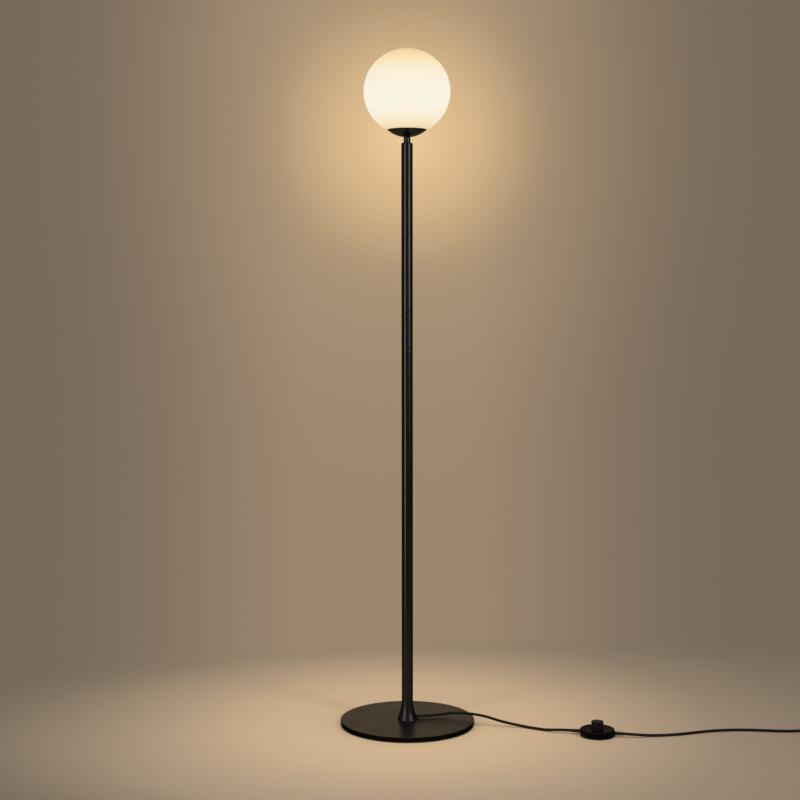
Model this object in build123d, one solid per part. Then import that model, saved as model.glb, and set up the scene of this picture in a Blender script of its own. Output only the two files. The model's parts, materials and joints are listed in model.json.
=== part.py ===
from build123d import *
import os
from math import acos, asin, cos, degrees, hypot, pi, radians, sin, sqrt, tan

# Globe floor lamp: a round steel base plate, a flared foot, a slim pole in three sections,
# a shallow metal cup and an opal glass globe over an LED bulb. Its black cord leaves the
# foot's side, passes through a round foot switch and ends in a flat two-pin plug.
# Millimetres. Origin: centre of the base on the floor. +Z up, +X towards the cord's side.

# ---------------------------------------------------------------- driving dimensions
# Base
base_radius = 150.0
base_thickness = 10.0
base_edge_round = 1.2
pad_thickness = 2.0
pad_margin = 1.5            # the pad stands back from the plate's edge
pad_hole_radius = 45.0
base_screw_radius = 2.45    # M5 shank
base_screw_circle = 15.0    # radius of the circle that the three screws lie on
base_screw_grip = 6.5       # length of thread in the foot
base_screw_head_radius = 4.8

# Foot and pole
foot_height = 60.0          # plate top to the joint with the pole
flare_height = 44.0
flare_radius = 22.8
pole_radius = 12.5
pole_wall = 1.2
section_count = 3
section_length = 405.5
cap_height = 5.5
cap_round = 2.4
joint_stud_radius = 8.0     # male thread between sections
joint_stud_length = 17.0
joint_plug_length = 22.0
cavity_radius = 10.0
cavity_height = 18.0

# Neck and cup
neck_radius = 7.5
neck_length = 13.0
nipple_radius = 4.95        # M10 x 1
cup_rim_radius = 43.6
cup_depth = 15.9
cup_flat_radius = 9.0
cup_wall = 1.0
nut_across_flats = 14.0
nut_height = 4.0
spider_thickness = 1.2
spider_reach = 21.5
clip_width = 7.0
clip_thickness = 0.6
clip_height = 5.5           # how far a clip stands up inside the glass

# Globe
globe_radius = 95.0
globe_half_height = 92.5
glass_wall = 3.0
glass_mouth_radius = 33.0
glass_gap = 0.3             # glass to cup rim, and glass to clips

# Lampholder (E27) and bulb
holder_radius = 20.0
holder_wall = 1.8
dome_height = 16.0
skirt_height = 36.0
shell_radius = 13.4         # inside of the screw shell's crests
thread_pitch = 3.63
thread_depth = 0.85
bulb_radius = 30.0
bulb_length = 108.0
bulb_cap_radius = 13.1
diffuser_wall = 1.2

# Cord and its fittings
cord_radius = 3.0
relief_length = 20.0
relief_root_wall = 1.0
relief_tip_wall = 0.4
wire_way_gap = 1.0          # round the flex, through the pole's joints
nipple_bore_gap = 0.6       # round the flex, through the nipple
exit_wall = 1.0             # metal left in the foot under the cord's hole
cord_exit_yaw = 8.0         # degrees from +X
cord_exit_reach = 38.0      # from the pole's axis to the end of the bushing
flex_bend = 9.0

# Foot switch
switch_x, switch_y = 415.0, -93.0
switch_yaw = -13.5
switch_radius = 38.0
switch_height = 15.3
switch_wall = 2.2
switch_pad_height = 1.0
switch_floor = 2.2
switch_gland_height = 7.5
rim_bevel = 1.7
rim_width = 1.6
button_radius = 13.25
button_top = 32.0
button_travel = 4.0
button_wall = 2.0
spring_turns = 7

# Coil of spare cord, and plug
coil_x, coil_y = 935.0, -25.0
coil_outer_radius = 41.2
coil_turn_gap = 0.6
coil_layer_gap = 0.5
coil_lift = 1.2             # the coil lies on its tie
coil_turns_in = 2.0
coil_turns_out = 1.75
tie_width = 9.0
tie_thickness = 0.8
tie_angle = 135.0
plug_x, plug_y = 976.0, 68.0
plug_half_width = 17.6
plug_rear_half_width = 6.5
plug_length = 36.0
plug_thickness = 14.0
plug_shoulder = 13.0
pin_radius = 2.0
pin_length = 19.0
pin_sleeve_length = 10.0
pin_spacing = 18.6

# Clearances
slip = 0.05                 # plugs, studs and threads in their holes
free_gap = 0.35             # moving parts
press = 0.02                # cord in its bushings

# ---------------------------------------------------------------- sizes that follow
plate_top = pad_thickness + base_thickness
foot_top = plate_top + foot_height
pole_end = foot_top + section_count * section_length
pole_top = pole_end + cap_height
cup_bottom = pole_top + neck_length
rim_height = cup_bottom + cup_depth
tube_bore = pole_radius - pole_wall
# The globe's outline is three arcs that meet at 45 degrees: a wide one at each pole and a
# tighter one round the middle. arc_shift is how far their centres stand off the middle.
arc_shift = (globe_radius - globe_half_height) / (2 - sqrt(2))
side_arc_radius = globe_radius - arc_shift
pole_arc_radius = globe_half_height + arc_shift
mouth_drop = sqrt(pole_arc_radius**2 - cup_rim_radius**2) - arc_shift
globe_centre = rim_height + glass_gap + mouth_drop
cup_floor = cup_bottom + cup_wall
spider_base = cup_floor + nut_height
holder_base = spider_base + spider_thickness
skirt_base = holder_base + dome_height
holder_top = skirt_base + skirt_height
bulb_tip_height = skirt_base + 8.5
relief_root_radius = cord_radius + relief_root_wall
relief_tip_radius = cord_radius + relief_tip_wall
wire_way_radius = cord_radius + wire_way_gap
nipple_bore_radius = cord_radius + nipple_bore_gap
exit_z = plate_top + exit_wall + relief_root_radius
coil_pitch = 2 * cord_radius + coil_turn_gap
coil_layer_rise = 2 * cord_radius + coil_layer_gap

parts = {}


# ---------------------------------------------------------------- shape helpers
def turned(outline):
    """A solid turned about Z from its (radius, height) corners."""
    corners = [(radius, 0, height) for radius, height in outline]
    return revolve(make_face(Polyline(*corners, close=True)), Axis.Z)


def turned_edges(edges):
    """A solid turned about Z from edges drawn with x as radius and y as height."""
    return revolve(Plane.XZ * make_face(edges), Axis.Z)


def ring(outer, inner, low, high):
    """A plain ring about Z."""
    return turned([(inner, low), (outer, low), (outer, high), (inner, high)])


def disc(radius, low, high):
    """A plain disc about Z."""
    return Pos(0, 0, (low + high) / 2) * Cylinder(radius, high - low)


def rod_x(radius, start, end, height):
    """A round bar along X at a height."""
    return Pos((start + end) / 2, 0, height) * Rot(0, 90, 0) * Cylinder(radius, end - start)


def box(low, high):
    """A box between two corners."""
    size = [b - a for a, b in zip(low, high)]
    middle = [(a + b) / 2 for a, b in zip(low, high)]
    return Pos(*middle) * Box(*size)


def around(count, start=0.0):
    """Even turns about Z."""
    return [Rot(0, 0, start + 360 * step / count) for step in range(count)]


def group(solids):
    """Several separate solids that share a node."""
    return Compound(children=[solid for item in solids for solid in item.solids()])


def swept(path, radius):
    """A round tube along a path."""
    start = Plane(origin=path @ 0, z_dir=path % 0)
    return sweep(start * Circle(radius), path)


# ---------------------------------------------------------------- cord helpers
def cord_run(name, route):
    """A cord stretch: straight runs joined by arcs as large as the runs allow."""
    runs = [Vector(b) - Vector(a) for a, b in zip(route, route[1:])]
    radii = []
    for before, after in zip(runs, runs[1:]):
        turn = radians(before.get_angle(after))
        radii.append(0.45 * min(before.length, after.length) / tan(turn / 2))
    path = FilletPolyline(*route, radius=radii)
    tube = swept(path, cord_radius)
    expected = pi * cord_radius**2 * path.length
    print(name, "length", round(path.length, 1), "radii", [round(r) for r in radii])
    print(name, "volume over section x length", round(tube.volume / expected, 5))
    return tube


def biarc(start, start_way, end, end_way):
    """Two arcs that leave start along start_way and reach end along end_way."""
    chord = end - start
    ways = start_way + end_way
    along = chord.dot(ways)
    spread = 2 * (1 - start_way.dot(end_way))
    reach = (sqrt(along**2 + spread * chord.dot(chord)) - along) / spread
    first = start + start_way * reach
    last = end - end_way * reach
    middle = (first + last) * 0.5
    return [
        Edge.make_tangent_arc(start, start_way, middle),
        Edge.make_tangent_arc(middle, (last - first).normalized(), end),
    ]


# ---------------------------------------------------------------- base and foot
def screw_places():
    """The three base screws, clear of the cord's way out."""
    return around(3, cord_exit_yaw + 60)


def make_base():
    pad_radius = base_radius - pad_margin
    parts["base_pad"] = ring(pad_radius, pad_hole_radius, 0, pad_thickness)
    plate = disc(base_radius, pad_thickness, plate_top)
    plate = fillet(plate.edges().sort_by(Axis.Z)[-1], base_edge_round)
    plate = chamfer(plate.edges().sort_by(Axis.Z)[0], base_edge_round / 2)
    head_depth = base_screw_head_radius - base_screw_radius
    sink = pad_thickness + 0.2
    hole_radius = base_screw_radius + 0.3
    hole = turned([
        (0, 0), (base_screw_head_radius + 0.3, 0), (base_screw_head_radius + 0.3, sink),
        (hole_radius, sink + head_depth), (hole_radius, plate_top + 1), (0, plate_top + 1),
    ])
    screw = turned([
        (0, sink), (base_screw_head_radius, sink), (base_screw_radius, sink + head_depth),
        (base_screw_radius, plate_top + base_screw_grip), (0, plate_top + base_screw_grip),
    ])
    socket = Pos(0, 0, sink) * extrude(RegularPolygon(1.7, 6), 1.8)
    screw = screw - socket
    for place in screw_places():
        plate -= place * Pos(base_screw_circle, 0, 0) * hole
    parts["base_plate"] = plate
    parts["base_screws"] = group(
        [place * Pos(base_screw_circle, 0, 0) * screw for place in screw_places()]
    )


def make_foot():
    """The flared foot: an arc that runs out into the pole, hollow inside."""
    step = flare_radius - pole_radius
    arc_radius = (step**2 + flare_height**2) / (2 * step)
    sweep_angle = degrees(asin(flare_height / arc_radius))
    flare = CenterArc((pole_radius + arc_radius, plate_top + flare_height), arc_radius,
                      180, sweep_angle)
    stud_top = foot_top + joint_stud_length
    bore = joint_stud_radius - 2.0
    cone_low = plate_top + cavity_height
    cone_high = cone_low + 2 * (cavity_radius - bore)
    corners = [
        (cavity_radius, plate_top), (cavity_radius, cone_low), (bore, cone_high),
        (bore, stud_top), (joint_stud_radius, stud_top), (joint_stud_radius, foot_top),
        (pole_radius, foot_top),
    ]
    inside = Polyline(flare @ 1, *corners, flare @ 0)
    foot = turned_edges([flare, inside])
    way_out = Rot(0, 0, cord_exit_yaw) * rod_x(relief_root_radius + slip, 0, flare_radius + 5,
                                               exit_z)
    foot -= way_out
    thread = disc(base_screw_radius + slip, plate_top - 1, plate_top + base_screw_grip + 1.5)
    for place in screw_places():
        foot -= place * Pos(base_screw_circle, 0, 0) * thread
    parts["stem_foot"] = foot

    root = cord_exit_reach - relief_length
    bushing = turned([
        (cord_radius + press, cavity_radius + 0.5), (relief_root_radius, cavity_radius + 0.5),
        (relief_root_radius, root + 3), (relief_tip_radius, cord_exit_reach),
        (cord_radius + press, cord_exit_reach),
    ])
    along_x = Pos(0, 0, exit_z) * Rot(0, 90, 0)
    parts["exit_bushing"] = Rot(0, 0, cord_exit_yaw) * along_x * bushing


# ---------------------------------------------------------------- pole
def make_pole():
    names = ["pole_lower", "pole_middle", "pole_upper"]
    plug_radius = tube_bore - slip
    for index in range(section_count):
        low = foot_top + index * section_length
        high = low + section_length
        parts[names[index]] = ring(pole_radius, tube_bore, low, high)
        thread_top = low + joint_stud_length + 1.5
        plug_top = low + joint_plug_length
        parts[f"pole_insert_{index + 1}"] = turned([
            (joint_stud_radius + slip, low), (plug_radius, low), (plug_radius, plug_top),
            (wire_way_radius, plug_top), (wire_way_radius, thread_top),
            (joint_stud_radius + slip, thread_top),
        ])
        if index < section_count - 1:
            stud_low = high - joint_plug_length + 6
            parts[f"pole_stud_{index + 1}"] = turned([
                (wire_way_radius, stud_low), (plug_radius, stud_low), (plug_radius, high),
                (joint_stud_radius, high), (joint_stud_radius, high + joint_stud_length),
                (wire_way_radius, high + joint_stud_length),
            ])
    spigot_low = pole_end - joint_plug_length + 6
    cap = disc(pole_radius, pole_end, pole_top)
    cap = fillet(cap.edges().sort_by(Axis.Z)[-1], cap_round)
    cap += disc(plug_radius, spigot_low, pole_end)
    parts["pole_cap"] = cap - disc(nipple_radius + slip, spigot_low - 1, pole_top + 1)


# ---------------------------------------------------------------- neck, cup and clips
def cup_sphere():
    """Height of the cup's sphere centre over its flat bottom, and its radius."""
    rise = (cup_rim_radius**2 - cup_flat_radius**2 + cup_depth**2) / (2 * cup_depth)
    return rise, hypot(cup_flat_radius, rise)


def make_cup():
    nipple_top = holder_base + 8
    nipple_low = pole_end - 10
    parts["threaded_nipple"] = ring(nipple_radius, nipple_bore_radius, nipple_low, nipple_top)
    parts["neck_sleeve"] = ring(neck_radius, nipple_radius + slip, pole_top, cup_bottom)

    rise, outer = cup_sphere()
    inner = outer - cup_wall
    centre = (0, cup_bottom + rise)
    hole = nipple_radius + 0.2

    def bowl_arc(radius, low_radius, top):
        """The bowl's arc from a radius near the bottom up to a height."""
        start = degrees(acos(low_radius / radius))
        end = degrees(asin((centre[1] - top) / radius))
        return CenterArc(centre, radius, -start, start - end)

    outside = bowl_arc(outer, cup_flat_radius, rim_height)
    # The inner arc starts where it meets the flat floor, and runs past the rim.
    floor_radius = sqrt(inner**2 - (centre[1] - cup_floor) ** 2)
    inside = bowl_arc(inner, floor_radius, rim_height)
    rest = [
        Polyline(inside @ 0, (hole, cup_floor), (hole, cup_bottom), outside @ 0),
        Line(outside @ 1, inside @ 1),
    ]
    cup = turned_edges([outside, inside, *rest])
    arcs = globe_arcs(glass_gap, 0)
    clear = turned_edges([*arcs, Line(arcs[-1] @ 1, arcs[0] @ 0)])
    parts["cup"] = cup - clear

    nut = Pos(0, 0, cup_floor) * extrude(
        RegularPolygon(nut_across_flats / 2, 6, major_radius=False), nut_height)
    parts["nipple_nut"] = nut - disc(nipple_radius + slip, cup_floor - 1, spider_base + 1)

    spider = disc(10.0, spider_base, holder_base)
    arm = box((0, -clip_width / 2, spider_base), (spider_reach, clip_width / 2, holder_base))
    for place in around(3, 30):
        spider += place * arm
    rivet_radius = 1.5
    rivet_place = spider_reach - 4
    hole_tool = disc(rivet_radius + slip, spider_base - 1, holder_base + 1)
    for place in around(3, 30):
        spider -= place * Pos(rivet_place, 0, 0) * hole_tool
    parts["clip_spider"] = spider - disc(nipple_radius + slip, spider_base - 1, holder_base + 1)

    clip_outside = glass_mouth_radius - glass_gap
    mouth_low = globe_arcs(0, glass_mouth_radius)[0].position_at(0).Y
    strip_top = mouth_low + clip_height
    lower = [
        (spider_reach - 7, holder_base), (spider_reach + 0.5, holder_base),
        (clip_outside - 0.8, mouth_low - 0.4), (clip_outside, mouth_low + 2),
        (clip_outside - 0.9, strip_top),
    ]
    upper = [
        (clip_outside - 0.9 - clip_thickness, strip_top),
        (clip_outside - clip_thickness, mouth_low + 2),
        (clip_outside - 0.8 - clip_thickness, mouth_low - 0.1),
        (spider_reach + 0.3, holder_base + clip_thickness),
        (spider_reach - 7, holder_base + clip_thickness),
    ]
    side = make_face(Polyline(*[(x, 0, z) for x, z in lower + upper], close=True))
    clip = extrude(side, clip_width / 2, dir=(0, 1, 0), both=True)
    clip -= Pos(rivet_place, 0, 0) * disc(rivet_radius + slip, holder_base - 1, holder_base + 2)
    parts["glass_clips"] = group([place * clip for place in around(3, 30)])
    top = holder_base + clip_thickness
    rivet = turned([
        (0, spider_base - 0.6), (rivet_radius + 0.8, spider_base - 0.6),
        (rivet_radius + 0.8, spider_base), (rivet_radius, spider_base), (rivet_radius, top),
        (rivet_radius + 0.8, top), (rivet_radius + 0.4, top + 0.7), (0, top + 0.7),
    ])
    parts["clip_rivets"] = group(
        [place * Pos(rivet_place, 0, 0) * rivet for place in around(3, 30)])


# ---------------------------------------------------------------- globe
def globe_arcs(offset, mouth):
    """The globe's outline, offset outwards, from the mouth's radius up to the top.

    The first two arcs end at the widest line, and the last two start there."""
    low_radius = pole_arc_radius + offset
    side_radius = side_arc_radius + offset
    start = -degrees(acos(mouth / low_radius))
    return [
        CenterArc((0, globe_centre + arc_shift), low_radius, start, -45 - start),
        CenterArc((arc_shift, globe_centre), side_radius, -45, 45),
        CenterArc((arc_shift, globe_centre), side_radius, 0, 45),
        CenterArc((0, globe_centre - arc_shift), low_radius, 45, 45),
    ]


def make_globe():
    """Opal glass, slightly wider than it is tall, with a straight-cut mouth.

    It is one blown piece, in two nodes that meet face to face at its widest line, so that
    each is a plain bowl."""
    outside = globe_arcs(0, glass_mouth_radius)
    inside = globe_arcs(-glass_wall, glass_mouth_radius)
    halves = (("glass_globe_lower", outside[:2], inside[:2]),
              ("glass_globe_upper", outside[2:], inside[2:]))
    for name, outer, inner in halves:
        parts[name] = turned_edges([
            *outer, Line(outer[-1] @ 1, inner[-1] @ 1),
            *inner, Line(inner[0] @ 0, outer[0] @ 0),
        ])


# ---------------------------------------------------------------- lampholder
def thread_wave(radius, low, count, depth):
    """Round threads in profile, as (radius, height) points that swell by depth."""
    steps = 8
    points = []
    for step in range(count * steps + 1):
        swell = depth * (1 - cos(2 * pi * step / steps)) / 2
        points.append((radius + swell, low + thread_pitch * step / steps))
    return points


def make_lampholder():
    hole = nipple_radius + slip
    inner = holder_radius - holder_wall
    parts["holder_dome"] = turned([
        (hole, holder_base), (8.5, holder_base), (9.5, holder_base + 1.5),
        (9.5, holder_base + 6), (holder_radius - 3, holder_base + 11),
        (holder_radius, skirt_base - 2), (holder_radius, skirt_base), (inner, skirt_base),
        (inner, skirt_base - 2.5), (holder_radius - 4.5, holder_base + 12),
        (7.8, holder_base + 7.5), (7.8, holder_base + 4), (hole, holder_base + 4),
    ])
    rib = thread_pitch
    outline = [(inner, skirt_base), (holder_radius, skirt_base), (holder_radius, skirt_base + 6)]
    for index in range(4):
        low = skirt_base + 7 + index * rib
        outline += [(holder_radius + 0.9, low), (holder_radius + 0.9, low + 1.2),
                    (holder_radius, low + 2.2), (holder_radius, low + rib - 1)]
    outline += [(holder_radius, holder_top - 1), (holder_radius - 0.6, holder_top),
                (inner - 1.6, holder_top), (inner - 1.6, holder_top - 3), (inner, holder_top - 5)]
    parts["holder_skirt"] = turned(outline)

    core_top = skirt_base + 7.0
    core = disc(inner - slip, skirt_base + 1, core_top)
    well_low = skirt_base + 5.0
    core -= disc(shell_radius + thread_depth + 0.6, well_low, core_top + 1)
    core += ring(inner - slip, shell_radius + thread_depth + 0.6, core_top, core_top + 14)
    for side in (-1, 1):
        core -= Pos(side * 11, 0, 0) * disc(1.4, skirt_base, well_low + 1)
    parts["holder_core"] = core

    count = 6
    shell_low = well_low + 1.5
    crests = thread_wave(shell_radius, shell_low, count, thread_depth)
    wall = 0.4
    back = [(radius + wall, height) for radius, height in reversed(crests)]
    parts["holder_screw_shell"] = turned([(shell_radius, well_low)] + crests + back
                                         + [(shell_radius + wall, well_low)])
    leaf = box((-9, -3, well_low), (3.5, 3, well_low + 0.5))
    leaf += box((2.9, -3, well_low), (3.5, 3, bulb_tip_height - 0.6))
    leaf += box((-3.5, -3, bulb_tip_height - 0.6), (3.5, 3, bulb_tip_height))
    lug = Pos(-11, 0, 0) * disc(1.35, skirt_base - 3, well_low + 0.5)
    side_lug = Pos(11, 0, 0) * disc(1.35, skirt_base - 3, well_low + 0.5)
    side_leaf = box((9.8, -1.5, well_low), (shell_radius - 0.1, 1.5, well_low + 0.5))
    parts["holder_contacts"] = group([leaf + lug + box((-11, -3, well_low), (-8, 3, well_low + 0.5)),
                                      side_leaf + side_lug])
    blocks = []
    for side in (-1, 1):
        block = Pos(side * 11, 0, skirt_base - 1.5) * Box(6, 7, 5)
        block -= Pos(side * 11, 0, 0) * disc(1.4, skirt_base - 5, skirt_base + 2)
        blocks.append(block)
    parts["holder_terminals"] = group(blocks)
    wires = []
    flex_top = holder_base + 5
    for side in (-1, 1):
        wire = FilletPolyline(
            (side * 1.3, 0, flex_top), (side * 1.3, 0, flex_top + 4),
            (side * 9.2, 0, skirt_base - 6.5), (side * 11, 0, skirt_base - 4), radius=[2, 2])
        wires.append(swept(wire, 1.0))
    parts["holder_wires"] = group(wires)


def make_inner_flex():
    """The flex inside the lamp: in at the foot, a bend, and up the pole."""
    flex_top = holder_base + 5
    path = Wire([
        Edge.make_line((cord_exit_reach, 0, exit_z), (flex_bend, 0, exit_z)),
        Edge.make_tangent_arc((flex_bend, 0, exit_z), (-1, 0, 0), (0, 0, exit_z + flex_bend)),
        Edge.make_line((0, 0, exit_z + flex_bend), (0, 0, flex_top)),
    ])
    parts["inner_flex"] = Rot(0, 0, cord_exit_yaw) * swept(path, cord_radius)


# ---------------------------------------------------------------- bulb
def make_bulb():
    tip = bulb_tip_height
    cap_low = tip + 4.5
    count = 5
    cap_high = cap_low + count * thread_pitch + 3
    crest = bulb_cap_radius - thread_depth
    top = tip + bulb_length
    ball = top - bulb_radius
    parts["bulb_tip"] = disc(5, tip, tip + 1.5)
    parts["bulb_insulator"] = turned([
        (0, tip + 1.5), (5.4, tip + 1.5), (10.8, cap_low), (0, cap_low)])
    wave = thread_wave(crest, cap_low + 1, count, thread_depth)
    wall = 0.5
    cap = [(crest - wall, cap_low), (crest, cap_low)] + wave
    cap += [(bulb_cap_radius, wave[-1][1] + 0.8), (bulb_cap_radius, cap_high),
            (crest - wall, cap_high)]
    parts["bulb_cap"] = turned(cap)
    seat = ball - 15
    seat_radius = sqrt(bulb_radius**2 - (ball - seat) ** 2)
    neck = 13.6
    flare = Spline((neck, cap_high + 6), (seat_radius, seat),
                   tangents=[(0.15, 1), (bulb_radius * 0.5, seat_radius * 0.9)])
    inner_corner = (seat_radius - 2, seat)
    housing = turned_edges([
        Polyline((11.0, cap_high), (neck, cap_high), flare @ 0), flare,
        Polyline(flare @ 1, inner_corner, (seat_radius - 2, seat - 2),
                 (11.0, cap_high + 8), (11.0, cap_high)),
    ])
    parts["bulb_housing"] = housing
    low_angle = -degrees(asin((ball - seat) / bulb_radius))
    inner_radius = bulb_radius - diffuser_wall
    inner_angle = -degrees(asin((ball - seat) / inner_radius))
    outside = CenterArc((0, ball), bulb_radius, low_angle, 90 - low_angle)
    inside = CenterArc((0, ball), inner_radius, inner_angle, 90 - inner_angle)
    parts["bulb_diffuser"] = turned_edges([
        outside, Line(outside @ 1, inside @ 1), inside, Line(inside @ 0, outside @ 0)])
    board_low = seat - 2
    parts["bulb_led_board"] = disc(seat_radius - 2 - slip, board_low, board_low + 1.4)
    chip = Pos(15, 0, board_low + 1.4 + 0.35) * Box(2.8, 3.5, 0.7)
    parts["bulb_leds"] = group([place * chip for place in around(12)])


# ---------------------------------------------------------------- foot switch
def switch_frame():
    """Where the switch lies: its X runs along the cord, towards the plug."""
    return Pos(switch_x, switch_y, 0) * Rot(0, 0, switch_yaw)


def make_switch():
    place = switch_frame()
    gland = switch_gland_height
    pad_top = switch_pad_height
    floor_top = pad_top + switch_floor
    face = switch_height - 0.6
    under = face - switch_wall
    inner = switch_radius - switch_wall
    skirt_low = pad_top + 0.6
    hole = button_radius + free_gap
    bore = button_radius - button_wall
    flange_radius = button_radius + 2
    flange_top = under - 0.3
    flange_low = flange_top - 1.4

    cover = turned([
        (inner, skirt_low), (switch_radius - 0.5, skirt_low), (switch_radius, skirt_low + 0.5),
        (switch_radius, switch_height - rim_bevel), (switch_radius - rim_bevel, switch_height),
        (switch_radius - rim_bevel - rim_width, switch_height),
        (switch_radius - rim_bevel - rim_width - 1.2, face), (hole, face), (hole, under),
        (inner, under),
    ])
    slot = relief_root_radius + slip
    collar_radius = relief_root_radius + 0.9
    collar_end = sqrt(inner**2 - collar_radius**2) - slip
    collar_start = collar_end - 2
    for side in (-1, 1):
        ends = sorted((side * (inner - 1), side * (switch_radius + 1)))
        cover -= rod_x(slot, ends[0], ends[1], gland)
        cover -= box((ends[0], -slot, 0), (ends[1], slot, gland))
        # Room for the relief's collar, where it is taller than the space inside.
        ends = sorted((side * (collar_start - slip), side * collar_end))
        cover -= rod_x(collar_radius + slip, ends[0], ends[1], gland)

    base = disc(inner - slip, pad_top, floor_top)
    # A ring under the button's flange stops it at the end of its travel.
    base += ring(flange_radius, bore, floor_top, flange_low - button_travel - free_gap)
    tab_low, tab_high = inner - 3, switch_radius - 0.3
    for side in (-1, 1):
        ends = sorted((side * tab_low, side * tab_high))
        tab = box((ends[0], -slot + slip, pad_top), (ends[1], slot - slip, gland))
        base += tab
        saddle = sorted((side * 26, side * (collar_start - slip)))
        base += box((saddle[0], -6, floor_top), (saddle[1], 6, gland))
        base -= rod_x(cord_radius + press, saddle[0] - 1, saddle[1] + 1, gland)
        ends = sorted((side * collar_start, side * (switch_radius + 1)))
        base -= rod_x(slot, ends[0], ends[1], gland)
        ends = sorted((side * (collar_start - slip), side * (collar_end + slip)))
        base -= rod_x(collar_radius + slip, ends[0], ends[1], gland)
    post_place, post_radius, screw_radius = 27.0, 3.4, 1.4
    posts = []
    for side in (-1, 1):
        at = Pos(0, side * post_place, 0)
        base -= at * disc(screw_radius + 0.3, pad_top - 1, floor_top + 1)
        base -= at * disc(screw_radius + 1.5, pad_top - 1, pad_top + 1)
        cover += at * ring(post_radius, screw_radius + slip, floor_top + slip, under + 0.1)
        head = at * disc(screw_radius + 1.3, pad_top + 0.2, pad_top + 1)
        posts.append(head + at * disc(screw_radius, pad_top + 1, under - 1))
    parts["switch_cover"] = place * cover
    parts["switch_base"] = place * base
    parts["switch_screws"] = group([place * post for post in posts])
    parts["switch_pad"] = place * ring(inner - 1, post_place - 4.5, 0, pad_top)
    parts["switch_pad"] -= place * ring(post_place + 2.4, post_place - 2.4, -1, 0.4)

    button = turned([
        (bore, flange_low), (flange_radius, flange_low), (flange_radius, flange_top),
        (button_radius, flange_top), (button_radius, button_top), (0, button_top),
        (0, button_top - 3), (bore, button_top - 3),
    ])
    edge = button.edges().filter_by(GeomType.CIRCLE).sort_by(Axis.Z)[-1]
    parts["switch_button"] = place * fillet(edge, 1.4)

    block_top = floor_top + 4.8
    block = disc(bore - 0.9, floor_top, block_top)
    parts["switch_block"] = place * (block + disc(3.8, block_top, block_top + 5))
    wire = 0.5
    spring_low, spring_high = block_top + wire, button_top - 3 - wire
    rise = spring_high - spring_low
    helix = Helix(rise / spring_turns, rise, 5.2, center=(0, 0, spring_low))
    parts["switch_spring"] = place * swept(helix, wire)

    blocks, screws, bars, tails = [], [], [], []
    for side in (-1, 1):
        for across in (-8.5, 8.5):
            at = Pos(side * 20.5, across, 0)
            blocks.append(at * (box((-3.5, -3, floor_top), (3.5, 3, floor_top + 5.5))
                                - disc(1.3, floor_top + 2, floor_top + 6)))
            screws.append(at * (disc(1.25, floor_top + 2.1, floor_top + 5.5)
                                + disc(2.2, floor_top + 5.5, floor_top + 6.7)
                                - box((-3, -0.3, floor_top + 6.1), (3, 0.3, floor_top + 7))))
        bar_top = under - 0.4
        bar = box((side * 29 - 2, -6, gland), (side * 29 + 2, 6, bar_top))
        bars.append(bar - rod_x(cord_radius + press, side * 29 - 3, side * 29 + 3, gland))
        ends = sorted((side * 25, side * (switch_radius + relief_length)))
        tails.append(rod_x(cord_radius, ends[0], ends[1], gland))
    parts["switch_terminals"] = group([place * item for item in blocks])
    parts["switch_terminal_screws"] = group([place * item for item in screws])
    parts["switch_cord_clamps"] = group([place * item for item in bars])
    parts["switch_tails"] = group([place * item for item in tails])

    relief = turned([
        (cord_radius + press, collar_start), (collar_radius, collar_start),
        (collar_radius, collar_end), (relief_root_radius, collar_end),
        (relief_root_radius, switch_radius + 3),
        (relief_tip_radius, switch_radius + relief_length),
        (cord_radius + press, switch_radius + relief_length),
    ])
    for name, turn in (("switch_relief_in", 180), ("switch_relief_out", 0)):
        lay = Rot(0, 0, turn) * Pos(0, 0, gland) * Rot(0, 90, 0)
        parts[name] = place * lay * relief


# ---------------------------------------------------------------- cord
def polar(reach, yaw, height):
    return (reach * cos(radians(yaw)), reach * sin(radians(yaw)), height)


def switch_side(reach):
    """A point on the switch's cord line, reach from its centre."""
    ahead = polar(reach, switch_yaw, switch_gland_height)
    return (switch_x + ahead[0], switch_y + ahead[1], ahead[2])


def make_cord_runs():
    """The two free stretches: lamp to switch, and switch to coil."""
    fitting = switch_radius + relief_length
    lamp_route = [
        polar(cord_exit_reach, cord_exit_yaw, exit_z),
        polar(cord_exit_reach + 25, cord_exit_yaw, exit_z),
        (89.0, 15.5, 19.4),
        (117.0, 5.0, 23.4),
        (147.0, -5.5, 23.8),
        (175.0, -12.5, 20.4),
        (201.0, -21.5, 13.8),
        (227.0, -25.5, 8.0),
        (253.0, -31.0, 4.0),
        (280.0, -46.5, 3.0),
        (307.0, -62.0, 3.2),
        switch_side(-fitting - 25),
        switch_side(-fitting),
    ]
    parts["cord_lamp_run"] = cord_run("cord_lamp_run", lamp_route)
    entry_y = coil_y - coil_outer_radius
    coil_low = cord_radius + coil_lift
    switch_route = [
        switch_side(fitting),
        switch_side(fitting + 24),
        (521.0, -106.5, 4.2),
        (549.0, -103.0, 3.0),
        (578.0, -98.5, 3.0),
        (607.0, -90.5, 3.0),
        (636.0, -79.5, 3.0),
        (664.0, -70.0, 3.0),
        (693.0, -64.0, 3.0),
        (723.0, -61.0, 3.0),
        (753.0, -62.0, 3.0),
        (783.0, -65.5, 3.0),
        (813.0, -70.0, 3.0),
        (843.0, -71.5, 3.0),
        (873.0, -68.5, 3.4),
        (902.0, entry_y, coil_low),
        (coil_x - 2 * cord_radius, entry_y, coil_low),
    ]
    parts["cord_switch_run"] = cord_run("cord_switch_run", switch_route)


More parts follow.
